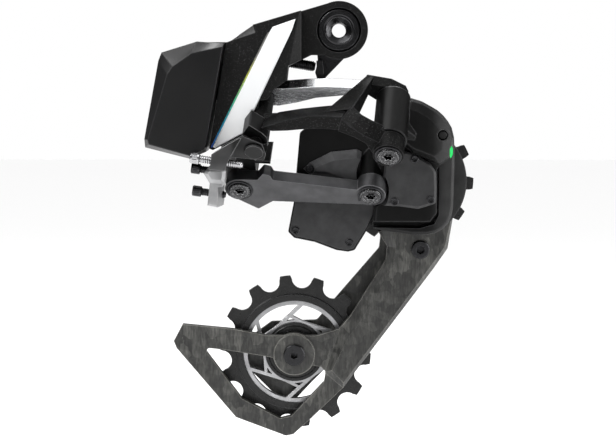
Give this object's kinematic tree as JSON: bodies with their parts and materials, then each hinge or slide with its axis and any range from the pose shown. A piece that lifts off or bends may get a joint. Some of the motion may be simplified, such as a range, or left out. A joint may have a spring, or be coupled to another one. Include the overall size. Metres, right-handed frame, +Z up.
{
  "type": "rear bicycle derailleur",
  "caption": "Electronic rear derailleur with a slanted parallelogram, battery on the mounting knuckle, motor in the moving knuckle and a sprung cage with toothed pulleys.",
  "frame": {"origin": "on the mounting bolt axis at the hanger face", "axes": "+X forward along the bicycle, +Y inboard towards the wheel along the mounting bolt, +Z up"},
  "size_m": [0.123, 0.0629, 0.1659],
  "materials": {
    "knuckle_black": "forged, fine sparkling black coat",
    "battery_black": "smooth satin black",
    "silver_stripe": "polished",
    "grey_anodised": "satin dark grey anodised",
    "link_grey": "satin grey",
    "polished_alloy": "polished",
    "steel": "bright",
    "dark_steel": "blackened",
    "spring_steel": "bright",
    "housing_black": "satin black composite",
    "cover_grey": "fine matt dark grey",
    "carbon": "moulded chopped carbon fibre",
    "pulley_black": "satin black",
    "carrier_alloy": "bead blasted",
    "rubber_seal": "matt",
    "light_green": "clear green lens",
    "board": "solder mask",
    "bronze": "plain bearing",
    "gold": "plated contacts"
  },
  "bodies": {
    "hanger_side": {"mount_bolt": "dark_steel", "b_washer": "dark_steel"},
    "knuckle": {"b_knuckle": "knuckle_black", "bolt_oring": "rubber_seal", "stripe_plate": "silver_stripe", "link_bracket": "grey_anodised", "battery_pack": "battery_black", "contact_block": "housing_black", "contact_pins": "gold", "latch_pin": "steel", "upper_rear_pin": "grey_anodised", "lower_rear_pin": "steel"},
    "b_screw": {"b_screw": "steel"},
    "upper_limit_screw": {"upper_limit_screw": "steel"},
    "middle_limit_screw": {"middle_limit_screw": "dark_steel"},
    "lower_limit_screw": {"lower_limit_screw": "dark_steel"},
    "battery_latch": {"battery_latch": "housing_black"},
    "upper_link": {"upper_link": "knuckle_black", "upper_link_rear": "polished_alloy", "upper_link_bushes": "bronze"},
    "lower_link": {"lower_link": "link_grey", "lower_link_bushes": "bronze"},
    "moving_knuckle": {"p_knuckle": "housing_black", "gear_cover": "cover_grey", "motor_cover": "cover_grey", "motor_cap": "cover_grey", "cover_screws": "dark_steel", "upper_front_pin": "steel", "lower_front_pin": "steel", "status_light": "light_green", "motor": "steel", "motor_worm": "bronze", "drive_gears": "steel", "gear_shafts": "steel", "circuit_board": "board", "cage_bush": "bronze", "cage_spring": "spring_steel"},
    "function_button": {"function_button": "rubber_seal"},
    "cage": {"cage_outer_plate": "carbon", "cage_inner_plate": "carbon", "cage_axle": "dark_steel", "axle_cap": "dark_steel", "cage_stop_screw": "dark_steel", "lower_pulley_bolt": "dark_steel", "upper_pulley_bolt": "dark_steel", "upper_bearing_sleeve": "steel", "lower_bearing_sleeve": "steel"},
    "lower_pulley": {"lower_pulley_teeth": "pulley_black", "lower_pulley_carrier": "carrier_alloy", "lower_pulley_hub": "pulley_black", "lower_bearing_race": "steel", "lower_bearing_balls": "steel"},
    "upper_pulley": {"upper_pulley_teeth": "pulley_black", "upper_pulley_carrier": "carrier_alloy", "upper_pulley_hub": "pulley_black", "upper_bearing_race": "steel", "upper_bearing_balls": "steel"}
  },
  "joints": [
    {"name": "b_pivot", "type": "hinge", "parent": "hanger_side", "child": "knuckle", "pos_m": [0, 0, 0], "axis": [0, 1, 0], "range_deg": [0, 35]},
    {"name": "b_adjust", "type": "slide", "parent": "knuckle", "child": "b_screw", "axis": [0.9859, 0, -0.1674], "range_m": [-0.003, 0]},
    {"name": "upper_limit", "type": "slide", "parent": "knuckle", "child": "upper_limit_screw", "axis": [0.9903, 0, -0.1386], "range_m": [-0.002, 0.001]},
    {"name": "middle_limit", "type": "slide", "parent": "knuckle", "child": "middle_limit_screw", "axis": [0.9903, 0, -0.1386], "range_m": [-0.002, 0.0005]},
    {"name": "lower_limit", "type": "slide", "parent": "knuckle", "child": "lower_limit_screw", "axis": [0.9903, 0, -0.1386], "range_m": [-0.002, 0]},
    {"name": "latch_pivot", "type": "hinge", "parent": "knuckle", "child": "battery_latch", "pos_m": [-0.0392, -0.015, -0.0064], "axis": [0, 1, 0], "range_deg": [0, 60]},
    {"name": "shift", "type": "hinge", "parent": "knuckle", "child": "upper_link", "pos_m": [-0.0308, -0.03, -0.0437], "axis": [0.0872, 0.7044, 0.7044], "range_deg": [0, 60]},
    {"name": "upper_front_pivot", "type": "hinge", "parent": "upper_link", "child": "moving_knuckle", "pos_m": [0.01768, -0.03429, -0.04541], "axis": [0.0872, 0.7044, 0.7044], "range_deg": [-60, 0]},
    {"name": "lower_rear_pivot", "type": "hinge", "parent": "knuckle", "child": "lower_link", "pos_m": [-0.03675, -0.01391, -0.05906], "axis": [0.0872, 0.7044, 0.7044], "range_deg": [0, 60]},
    {"name": "cage_pivot", "type": "hinge", "parent": "moving_knuckle", "child": "cage", "pos_m": [0.0263, 0.005, -0.0565], "axis": [0, -1, 0], "range_deg": [0, 105], "stiffness_Nm_per_rad": 0.35, "springref_deg": -51.57},
    {"name": "upper_pulley_spin", "type": "hinge", "parent": "cage", "child": "upper_pulley", "pos_m": [0.0263, 0.012, -0.0565], "axis": [0, 1, 0], "continuous": true},
    {"name": "lower_pulley_spin", "type": "hinge", "parent": "cage", "child": "lower_pulley", "pos_m": [-0.0169, 0.012, -0.1235], "axis": [0, 1, 0], "continuous": true},
    {"name": "button_press", "type": "slide", "parent": "moving_knuckle", "child": "function_button", "axis": [0, 1, 0], "range_m": [0, 0.0005], "stiffness_N_per_m": 1500, "springref_m": -0.0004}
  ],
  "couplings": [
    {"joint": "upper_front_pivot", "follows": "shift", "ratio": -1},
    {"joint": "lower_rear_pivot", "follows": "shift", "ratio": 1}
  ]
}
